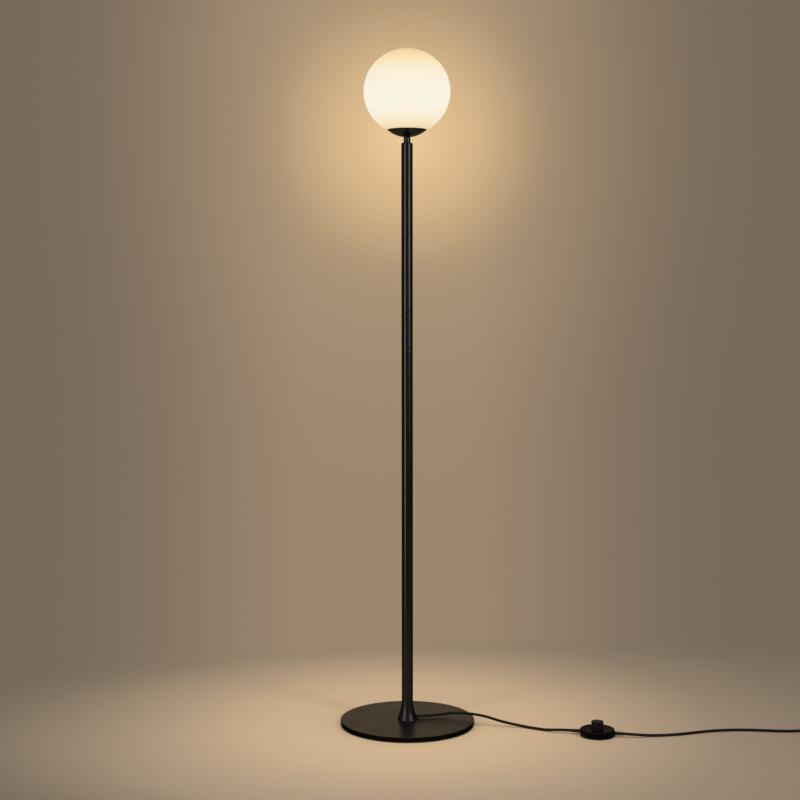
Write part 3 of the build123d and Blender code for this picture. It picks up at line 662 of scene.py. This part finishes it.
def select_edges(piece, test):
    """Selects the edges whose two ends pass a test, in edit mode."""
    bpy.ops.mesh.select_mode(type="EDGE")
    bpy.ops.mesh.select_all(action="DESELECT")
    bpy.ops.object.mode_set(mode="OBJECT")
    for edge in piece.data.edges:
        edge.select = test(*(piece.data.vertices[index].co for index in edge.vertices))
    bpy.ops.object.mode_set(mode="EDIT")


# %% [markdown]
# ## The strap round the coil
# The strap is a flat woven band that wraps the turns at one place and closes on itself. It
# starts as a box whose two ends are taken off, which leaves a square sleeve. The corners are
# rounded with a wide bevel, the band gets its thickness, and a short tab lies on top, where
# the strap's end is pressed down.

# %% Strap
strap_inner, strap_outer, strap_low, strap_high = 23.9, 42.0, 0.5, 14.4
strap_width, strap_thickness, strap_corner = 9.0, 0.8, 3.0
tab_size, tab_shift, tab_lift, tab_corner = (0.011, 0.0088, 0.0009), 0.0012, 0.0009, 2.5


def make_strap():
    middle = ((strap_inner + strap_outer) / 2, (strap_low + strap_high) / 2)
    length, height = (strap_outer - strap_inner) * MM, (strap_high - strap_low) * MM
    start_piece()
    bpy.ops.mesh.primitive_cube_add(size=1, scale=(length, strap_width * MM, height))
    strap = bpy.context.active_object
    apply_place()
    bpy.ops.object.mode_set(mode="EDIT")
    select_faces(strap, lambda normal, middle: abs(normal.y) > facing)
    bpy.ops.mesh.delete(type="ONLY_FACE")
    select_edges(strap, lambda start, end: abs(start.y - end.y) > apart)
    bpy.ops.mesh.bevel(offset=strap_corner * MM, segments=6, affect="EDGES")
    bpy.ops.mesh.select_all(action="SELECT")
    bpy.ops.mesh.normals_make_consistent(inside=False)
    bpy.ops.object.mode_set(mode="OBJECT")
    apply_modifier(strap, "SOLIDIFY", thickness=strap_thickness * MM, offset=0.0)

    bpy.ops.mesh.primitive_cube_add(size=1, location=(tab_shift, 0, height / 2 + tab_lift),
                                    scale=tab_size)
    tab = bpy.context.active_object
    apply_place()
    bpy.ops.object.mode_set(mode="EDIT")
    select_edges(tab, lambda start, end: abs(start.z - end.z) > apart and start.x > 0)
    bpy.ops.mesh.bevel(offset=tab_corner * MM, segments=4, affect="EDGES")
    bpy.ops.object.mode_set(mode="OBJECT")
    strap.select_set(True)
    bpy.context.view_layer.objects.active = strap
    bpy.ops.object.join()
    strap.rotation_euler = (0, 0, strap_turn)
    strap.location = (coil_centre[0] * MM + middle[0] * MM * cos(strap_turn),
                      coil_centre[1] * MM + middle[0] * MM * sin(strap_turn), middle[1] * MM)
    apply_place()
    strap.name = strap.data.name = "coil_strap"
    return soften(strap, 0.15 * MM, angle=50)


coil_strap = seat(make_strap(), "stand", tie_strap, "tie_strap", "cord_tie")

# %% [markdown]
# ## The globe
# The globe is blown glass, two and a half millimetres less tall than wide each way from its
# middle. Its outline is three arcs that run into each other. Only the outside is turned; the
# Solidify modifier then gives the wall its 3 mm inwards, and the mouth's edge is rounded, as
# a flame rounds it.

# %% Globe
globe_radius, globe_half_height, glass_wall, glass_mouth = 0.095, 0.0925, 0.003, 0.033
globe_middle = globe_high.z - globe_half_height
arc_shift = (globe_radius - globe_half_height) / (2 - sqrt(2))
side_arc, pole_arc = globe_radius - arc_shift, globe_half_height + arc_shift


def globe_outline():
    mouth_angle = -degrees(acos(glass_mouth / pole_arc))
    low = arc((0, globe_middle + arc_shift), pole_arc, mouth_angle, -45, 14)
    waist = arc((arc_shift, globe_middle), side_arc, -45, 45, 44)
    top = arc((0, globe_middle - arc_shift), pole_arc, 45, 90, 22)
    return low + waist[1:] + top[1:-1] + [(0, globe_middle + globe_half_height)]


globe = turned("glass_globe_shell", globe_outline(), points=128)
apply_modifier(globe, "SOLIDIFY", thickness=glass_wall, offset=-1.0, use_even_offset=True)
soften(globe, 0.0009, segments=3, angle=40)
seat(globe, "globe", opal_glass, "opal_glass", "glass_globe_lower", "glass_globe_upper")

# %% [markdown]
# ## The cup and the neck
# The cup is pressed from thin sheet: a small flat round its hole, a bowl, and an edge that
# follows the glass a hair's breadth below it. The neck is a short sleeve on the threaded
# tube. Both are turned, and their edges are broken just enough to catch the light.

# %% Cup and neck
cup_low, cup_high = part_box("cup")
cup_rim, cup_flat, cup_wall, cup_hole = 0.0436, 0.009, 0.001, 0.00515
edge_outer, edge_inner, inside_top = 0.0434, 0.0399, 0.0398
cup_depth = cup_high.z - cup_low.z
cup_rise = (cup_rim ** 2 - cup_flat ** 2 + cup_depth ** 2) / (2 * cup_depth)
cup_sphere = hypot(cup_flat, cup_rise)
cup_middle = (0, cup_low.z + cup_rise)
glass_gap = 0.0003


def cup_outline():
    inner = cup_sphere - cup_wall
    rim_angle = degrees(atan2(cup_high.z - cup_middle[1], cup_rim))
    outside = arc(cup_middle, cup_sphere, degrees(atan2(-cup_rise, cup_flat)), rim_angle, 26)
    edge_arc = pole_arc + glass_gap
    start, end = (-degrees(acos(radius / edge_arc)) for radius in (edge_outer, edge_inner))
    edge = arc((0, globe_middle + arc_shift), edge_arc, start, end, 4)
    floor = cup_low.z + cup_wall
    low_angle = -degrees(asin((cup_middle[1] - floor) / inner))
    high_angle = degrees(atan2(edge[-1][1] - cup_middle[1], inside_top))
    inside = arc(cup_middle, inner, high_angle, low_angle, 22)
    return outside + edge + inside + [(cup_hole, floor), (cup_hole, cup_low.z), outside[0]]


cup = soften(turned("cup_bowl", cup_outline(), points=128), 0.00012, angle=25)
seat(cup, "stand", gloss_black, "gloss_black", "cup")


def ring_outline(bore, low, high):
    """A plain ring, from its bore and the box of its solid."""
    return [(bore, low.z), (high.x, low.z), (high.x, high.z), (bore, high.z), (bore, low.z)]


neck_bore = 0.00505
neck_outline = ring_outline(neck_bore, *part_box("neck_sleeve"))
neck = soften(turned("neck_tube", neck_outline, points=64), 0.00025, segments=3)
seat(neck, "stand", gloss_black, "gloss_black", "neck_sleeve")

# %% [markdown]
# ## The pad under the base
# A ring of soft foam keeps the steel off the floor. Its edges are round and a little crushed.

# %% Floor pad
pad_bore = 0.045
pad_outline = ring_outline(pad_bore, *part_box("base_pad"))
floor_pad = soften(turned("floor_pad", pad_outline, points=128), 0.0006, segments=3)
seat(floor_pad, "stand", foam_pad, "foam_pad", "base_pad")

# %% [markdown]
# ## The base
# The base is a thick steel disc with a rounded top edge and a broken bottom edge. It is turned
# from a filled ring. A ring close to each side of the round keeps the flats flat in shading.
# Three screws hold the foot from below, so one cutter in a countersunk hole's shape is moved
# round to three places, and taken away from the disc at each. The disc's upright side gets a
# second, darker finish, which is painted shade: the real coat is the same as on the top.


# %% Base
base_radius, base_edge, flat_margin, middle_ring = 150.0, 1.2, 0.5, 60.0
screw_head, screw_shank, head_depth, cone_end = 5.1, 2.75, 0.2, 2.55
screw_circle, screw_angles = 0.015, (68, 188, 308)
rim_from, upright = 0.149, 0.5


def in_metres(outline):
    return [(radius * MM, height * MM) for radius, height in outline]


def make_base():
    low, high = (corner.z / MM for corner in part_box("base_plate"))
    base = turned("base_disc", in_metres([
        (base_radius - base_edge / 2, low), (base_radius, low + base_edge / 2),
        (base_radius, high - base_edge - flat_margin),
        *arc((base_radius - base_edge, high - base_edge), base_edge, 0, 90, 8),
        (base_radius - base_edge - flat_margin, high), (middle_ring, high), (0, high)]),
        points=192, filled=True)
    cutter = turned("screw_hole", in_metres([
        (screw_head, low - 1), (screw_head, low + head_depth), (screw_shank, low + cone_end),
        (screw_shank, high + 1), (0, high + 1)]), points=32, filled=True)
    for angle in map(radians, screw_angles):
        cutter.location = (screw_circle * cos(angle), screw_circle * sin(angle), 0)
        apply_modifier(base, "BOOLEAN", operation="DIFFERENCE", solver="EXACT", object=cutter)
    bpy.data.objects.remove(cutter)
    take(base)
    bpy.ops.object.shade_smooth_by_angle(angle=smooth_below)
    return base


base_disc = seat(make_base(), "stand", powder_coat, "powder_coat", "base_plate")
# The darker second finish on the upright side is painted shade.
base_disc.data.materials.append(rim_painted_shade)
for face in base_disc.data.polygons:
    if face.center.xy.length > rim_from and abs(face.normal.z) < upright:
        face.material_index = 1

# %% [markdown]
# ## The strain reliefs
# Where the cord goes into the foot and into the switch, a tapered rubber sleeve keeps it from
# kinking. Each is turned upright and then laid along its cord: its axis is tipped over by a
# quarter turn and swung to the cord's direction.


# %% Strain reliefs
sleeve_bore, sleeve_root, sleeve_tip = 0.00302, 0.004, 0.0034
foot_sleeve_ends, switch_sleeve_ends = (0.0105, 0.021, 0.038), (0.034, 0.041, 0.058)
foot_exit, foot_exit_yaw = (0, 0, 0.017), radians(8.0)
switch_place, switch_yaw = (0.415, -0.093), radians(-13.5)
switch_gland = (*switch_place, 0.0075)


def lay_down(piece, place, yaw):
    """Tips a piece that was turned upright, so that its axis runs along a level direction."""
    take(piece)
    piece.location = place
    piece.rotation_euler = (0, radians(90), yaw)
    apply_place()
    return piece


def relief_sleeve(name, ends, place, yaw, stands_for):
    """A sleeve; its ends say how far along its axis it starts, narrows and stops."""
    start, root_end, tip = ends
    sleeve = soften(turned(name, [
        (sleeve_bore, start), (sleeve_root, start), (sleeve_root, root_end), (sleeve_tip, tip),
        (sleeve_bore, tip), (sleeve_bore, start)], points=48), 0.0003, segments=3, angle=25)
    return seat(lay_down(sleeve, place, yaw), "stand", black_rubber, "black_rubber", stands_for)


relief_sleeve("foot_relief", foot_sleeve_ends, foot_exit, foot_exit_yaw, "exit_bushing")
sleeve_in = relief_sleeve("relief_from_lamp", switch_sleeve_ends, switch_gland, switch_yaw + pi,
                          "switch_relief_in")
sleeve_out = relief_sleeve("relief_to_plug", switch_sleeve_ends, switch_gland, switch_yaw,
                           "switch_relief_out")

# %% [markdown]
# ## The foot switch
# The cover is a round moulding with a bevelled rim that stands a little above its flat top.
# The button is a tall round cap, with a rounded edge and a top that dips slightly in the
# middle. The cover is turned as one closed outline. The button's first ring is filled, which
# is the ceiling of its hollow inside.


# %% Switch cover and button
cover_outline = in_metres([
    (35.8, 1.6), (37.5, 1.6), (38.0, 2.1), (38.0, 13.6), (36.3, 15.3), (34.7, 15.3),
    (33.5, 14.7), (13.6, 14.7), (13.6, 12.5), (35.8, 12.5), (35.8, 1.6)])
cover = turned("switch_case", cover_outline, switch_place, points=128)
soften(cover, 0.0003, segments=3, angle=20)
seat(cover, "stand", switch_plastic, "switch_plastic", "switch_cover")

button_edge = arc((11.85, 30.6), 1.4, 0, 90, 6)
button_outline = in_metres([
    (11.25, 29.0), (11.25, 10.8), (15.25, 10.8), (15.25, 12.2), (13.25, 12.2), *button_edge,
    (10.6, 31.95), (9.0, 31.84), (6.0, 31.72), (3.0, 31.66), (0, 31.64)])
button = turned("switch_push_button", button_outline, switch_place, filled=True)
soften(button, 0.0002, angle=50)
seat(button, "button", button_plastic, "switch_plastic", "switch_button")

# %% [markdown]
# ## The button's spring
# Inside the switch a spring of seven turns lifts the button again. A small circle, which is
# the wire's section, is screwed up round the axis, and its two ends are closed. A spring can't
# follow the button as a stiff piece does, so it stays on the stand with a mesh of its own, and
# its height pressed down by the button's travel is printed.

# %% Button spring
spring_low, spring_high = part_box("switch_spring")
wire_radius, coil_radius, spring_turns, button_travel = 0.0005, 0.0052, 7, 0.004
spring_height = spring_high.z - spring_low.z


def make_spring():
    start_piece()
    bpy.ops.mesh.primitive_circle_add(vertices=12, radius=wire_radius,
                                      location=(coil_radius, 0, 0),
                                      rotation=(radians(90), 0, 0))
    spring = bpy.context.active_object
    apply_place()
    pitch = (spring_height - 2 * wire_radius) / spring_turns
    apply_modifier(spring, "SCREW", axis="Z", iterations=spring_turns, screw_offset=pitch,
                   steps=32, render_steps=32)
    spring.location = (*switch_place, spring_low.z + wire_radius)
    spring.rotation_euler = (0, 0, switch_yaw)
    bpy.ops.object.mode_set(mode="EDIT")
    bpy.ops.mesh.select_all(action="SELECT")
    bpy.ops.mesh.fill_holes(sides=0)
    end_piece("button_spring")
    bpy.ops.object.shade_smooth_by_angle(angle=radians(50))
    return spring


spring = seat(make_spring(), "stand", spring_steel, "spring_steel", "switch_spring")
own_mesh(spring)
print("spring", round(spring_height * 1000, 2), "mm tall, pressed",
      round((spring_height - button_travel) * 1000, 2))

# %% [markdown]
# ## The plug
# A flat two-pin plug lies on its side at the end of the cord. Its body starts as a box as wide
# as the cord's end. The front face is widened, which makes the taper, and drawn forward, which
# makes the shoulders. A shallow panel is sunk into each broad side for the fingers, and all
# edges are rounded.

# %% Plug body
plug_low, plug_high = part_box("plug_body")
plug_rear, plug_front, plug_taper = 0.0065, 0.0176, 0.023
panel_margin, panel_depth = 0.0032, 0.0007


def make_plug_body():
    start_piece()
    x = (plug_low.x + plug_high.x) / 2
    z = (plug_low.z + plug_high.z) / 2
    shoulder = plug_low.y + plug_taper
    bpy.ops.mesh.primitive_cube_add(size=1, location=(x, plug_low.y + plug_taper / 2, z),
                                    scale=(2 * plug_rear, plug_taper, plug_high.z - plug_low.z))
    body = bpy.context.active_object
    apply_place()
    bpy.ops.object.mode_set(mode="EDIT")
    select_faces(body, lambda normal, middle: normal.y > facing)
    bpy.ops.transform.resize(value=(plug_front / plug_rear, 1, 1),
                             center_override=(x, shoulder, z))
    bpy.ops.mesh.extrude_region_move(
        TRANSFORM_OT_translate={"value": (0, plug_high.y - shoulder, 0)})
    bpy.ops.mesh.select_all(action="SELECT")
    bpy.ops.mesh.normals_make_consistent(inside=False)
    select_faces(body, lambda normal, middle: abs(normal.z) > facing and middle.y < shoulder)
    bpy.ops.mesh.inset(thickness=panel_margin)
    bpy.ops.mesh.extrude_region_shrink_fatten(
        TRANSFORM_OT_shrink_fatten={"value": -panel_depth})
    return end_piece("plug_case")


plug_case = make_plug_body()
apply_modifier(plug_case, "BEVEL", width=0.0016, segments=4, limit_method="ANGLE",
               angle_limit=radians(60))
soften(plug_case, 0.0003)
seat(plug_case, "stand", plug_plastic, "plug_plastic", "plug_body")

# %% [markdown]
# ## The plug's strain relief
# It is a tapered sleeve of the plug's own plastic, with five round grooves that let it bend.

# %% Plug relief
taper_tip, taper_growth, taper_length, root_length = 3.4, 1.8, 20.0, 22.0
groove_count, first_groove, groove_pitch, groove_width = 5, 3.0, 3.2, 1.3
groove_radius, groove_slope = 3.3, 0.15
relief_height = 0.007


def taper_radius(height):
    return taper_tip + taper_growth * height / taper_length


plug_relief_outline = [(3.45, 0.0)]
for groove in range(groove_count):
    low = first_groove + groove_pitch * groove
    high = low + groove_width
    plug_relief_outline += [(taper_radius(low), low), (groove_radius, low + groove_slope),
                            (groove_radius, high - groove_slope), (taper_radius(high), high)]
plug_relief_outline += [(taper_radius(taper_length), height)
                        for height in (taper_length, root_length)]
plug_sleeve = turned("plug_relief_sleeve", in_metres(plug_relief_outline), points=48,
                     filled=True)
soften(plug_sleeve, 0.0002)
lay_down(plug_sleeve, ((plug_low.x + plug_high.x) / 2, plug_low.y - root_length * MM,
                       relief_height), radians(90))
seat(plug_sleeve, "stand", plug_plastic, "plug_plastic", "plug_relief")

# %% [markdown]
# ## The two cords
# The first goes from the foot to the switch, and the second from the switch, through the
# coil, to the plug.

# %% [markdown]
# ## The studio
# The lamp stands on a pale warm floor with a painted pool of light: its colour darkens in
# rings round the base that reach a little further behind it. Seen by the camera, the floor
# fades away some distance from the lamp, so it runs into the backdrop with no edge. The lamps
# still see a whole floor, so the shadow and the bounced light stay.


# %% Floor
# The middle of the painted pool of light, and how much further it reaches behind the base.
painted_pool_middle, reach_behind = (-0.012, 0.03, 0), 0.12
fade_middle, fade_width, fade_depth, fade_start = 0.3, 1.45, 0.9, 0.7


def distance(finish, source, point):
    """How far a place or a direction is from a point."""
    node = add(finish, "ShaderNodeVectorMath", operation="DISTANCE")
    join(finish, source, node.inputs[0])
    node.inputs[1].default_value = point
    return node.outputs["Value"]


def mix_shaders(finish, share, first, second):
    """The first shader where the share is 0, and the second where it is 1."""
    mix = add(finish, "ShaderNodeMixShader")
    for socket, source in zip(mix.inputs, (share, first, second)):
        join(finish, source, socket)
    return mix.outputs["Shader"]


def painted_light_pool(finish):
    """A painted pool of light: the floor's colour darkens in rings round the base."""
    place = split(finish, place_of(finish))
    behind = calculate(finish, "MAXIMUM", place["Y"], 0.0)
    spot = add(finish, "ShaderNodeCombineXYZ")
    join(finish, place["X"], spot.inputs["X"])
    join(finish, calculate(finish, "MULTIPLY_ADD", behind, -reach_behind, place["Y"]),
         spot.inputs["Y"])
    # The floor's colour darkens outwards from the base: a painted pool of light.
    tone(finish, distance(finish, spot.outputs["Vector"], painted_pool_middle),
         (0.25, (0.645, 0.460, 0.288)), (0.37, (0.580, 0.418, 0.262)),
         (0.44, (0.515, 0.375, 0.239)), (0.53, (0.445, 0.329, 0.215)),
         (0.63, (0.374, 0.281, 0.190)), (0.73, (0.310, 0.237, 0.165)),
         (1.0, (0.240, 0.183, 0.130)))


def floor_fade(finish):
    """How far the floor has faded, from 0 to 1, for the camera alone."""
    oval = add(finish, "ShaderNodeMapping", location=(-fade_middle / fade_width, 0, 0),
               scale=(1 / fade_width, 1 / fade_depth, 1))
    join(finish, place_of(finish), oval.inputs["Vector"])
    away = add(finish, "ShaderNodeVectorMath", operation="LENGTH")
    join(finish, oval.outputs["Vector"], away.inputs[0])
    fade = add(finish, "ShaderNodeMapRange", interpolation_type="SMOOTHSTEP",
               from_min=fade_start)
    join(finish, away.outputs["Value"], fade.inputs["Value"])
    seen = add(finish, "ShaderNodeLightPath").outputs["Is Camera Ray"]
    return calculate(finish, "MULTIPLY", fade.outputs["Result"], seen)


def make_floor():
    start_piece()
    bpy.ops.mesh.primitive_plane_add(size=9, location=(0.42, 0, 0))
    floor = bpy.context.active_object
    floor.name = "studio_floor"
    apply_place()
    finish = new_finish("floor_with_painted_pool", (0.60, 0.43, 0.265), 0.75)
    painted_light_pool(finish)
    clear = add(finish, "ShaderNodeBsdfTransparent").outputs["BSDF"]
    faded = mix_shaders(finish, floor_fade(finish), shader_of(finish).outputs["BSDF"], clear)
    join(finish, faded, finish.node_tree.nodes["Material Output"].inputs["Surface"])
    paint(floor, finish)


make_floor()

# %% [markdown]
# ## The backdrop
# The camera, and all that mirrors or lets light through, sees a warm grey backdrop with
# painted light on it: lighter in the middle and darker to the sides, and a painted glow where
# the lit globe would light the wall behind it.
# Everything else is lit by a plain, even sky, so the backdrop can be any tone without
# changing the light.


# %% Backdrop
# The painted glow is centred on the globe's direction; the painted falloff is shifted a little
# sideways.
wall_shift, globe_direction = 0.007, (0.0045, 0.9946, 0.1034)


def wall_with_painted_light(world, direction):
    """The wall with painted light: painted shade to the sides, and a painted glow of the globe
    added.
    """
    sideways = calculate(world, "ADD", split(world, direction)["X"], wall_shift)
    # Painted shade: the wall darkens towards the sides, and lightens again far round to either
    # side.
    wall_with_painted_falloff = ramp(world, calculate(world, "ABSOLUTE", sideways),
                (0.0, (0.332, 0.242, 0.160)), (0.04, (0.332, 0.242, 0.160)),
                (0.07, (0.330, 0.241, 0.160)), (0.126, (0.252, 0.188, 0.132)),
                (0.17, (0.213, 0.159, 0.113)), (0.20, (0.195, 0.147, 0.103)),
                (0.30, (0.178, 0.135, 0.096)), (0.40, (0.185, 0.140, 0.099)),
                (0.75, (0.30, 0.22, 0.147)), blend="B_SPLINE")
    # A painted glow round the globe's direction, where the lit globe would light the wall.
    painted_glow = ramp(world, distance(world, direction, globe_direction),
                (0.0, (0.50, 0.345, 0.155)), (0.018, (0.455, 0.312, 0.140)),
                (0.031, (0.380, 0.248, 0.104)), (0.044, (0.340, 0.220, 0.091)),
                (0.0525, (0.295, 0.190, 0.077)), (0.0604, (0.250, 0.160, 0.064)),
                (0.076, (0.165, 0.104, 0.042)), (0.085, (0.115, 0.073, 0.029)),
                (0.095, (0.078, 0.052, 0.021)), (0.107, (0.064, 0.044, 0.019)),
                (0.15, (0.030, 0.021, 0.012)), (0.21, grey(0.0)), (0.30, grey(0.0)),
                blend="B_SPLINE")
    total = add(world, "ShaderNodeMix", data_type="RGBA", blend_type="ADD")
    total.inputs[0].default_value = 1.0
    join(world, wall_with_painted_falloff, total.inputs[6])
    join(world, painted_glow, total.inputs[7])
    return total.outputs[2]


def make_backdrop():
    world = bpy.data.worlds.new("studio")
    world.use_nodes = True
    scene.world = world
    nodes = world.node_tree.nodes
    sky = nodes["Background"]
    sky.inputs["Color"].default_value = (0.36, 0.34, 0.31, 1)
    backdrop = add(world, "ShaderNodeBackground")
    direction = add(world, "ShaderNodeTexCoord").outputs["Generated"]
    join(world, wall_with_painted_light(world, direction), backdrop.inputs["Color"])
    rays = add(world, "ShaderNodeLightPath").outputs
    seen = calculate(world, "MAXIMUM", rays["Is Camera Ray"], rays["Is Glossy Ray"])
    seen = calculate(world, "MAXIMUM", seen, rays["Is Transmission Ray"])
    studio = mix_shaders(world, seen, sky.outputs["Background"],
                         backdrop.outputs["Background"])
    join(world, studio, nodes["World Output"].inputs["Surface"])
    print("backdrop", world.name)


make_backdrop()

# %% [markdown]
# ## The lamps
# A tall narrow softbox stands on each side, in front of the lamp: they draw the two bright
# lines down the pole. A wide softbox overhead gives the light on the base and the soft shadow
# round it.


# %% Lamps
def softbox(name, place, aim, width, height, watts):
    light = bpy.data.lights.new(name, "AREA")
    light.shape = "RECTANGLE"
    light.size, light.size_y, light.energy = width, height, watts
    lamp = bpy.data.objects.new(name, light)
    scene.collection.objects.link(lamp)
    lamp.location = place
    towards = Vector(aim) - Vector(place)
    lamp.rotation_euler = towards.to_track_quat("-Z", "Y").to_euler()
    print(name, watts, "W")


def beside(azimuth, away, height):
    """A place round the lamp; the azimuth is in degrees from the camera's side towards +X."""
    return (away * sin(radians(azimuth)), -away * cos(radians(azimuth)), height)


softbox("left_strip", place=beside(azimuth=-44, away=2.2, height=0.93), aim=(0, 0, 0.9),
        width=0.5, height=1.84, watts=20)
softbox("right_strip", place=beside(azimuth=46, away=2.4, height=1.45), aim=(0, 0, 1.15),
        width=0.45, height=1.2, watts=19)
softbox("overhead", place=(0.1, -0.3, 2.6), aim=(0.1, 0, 0), width=1.8, height=1.8, watts=33)
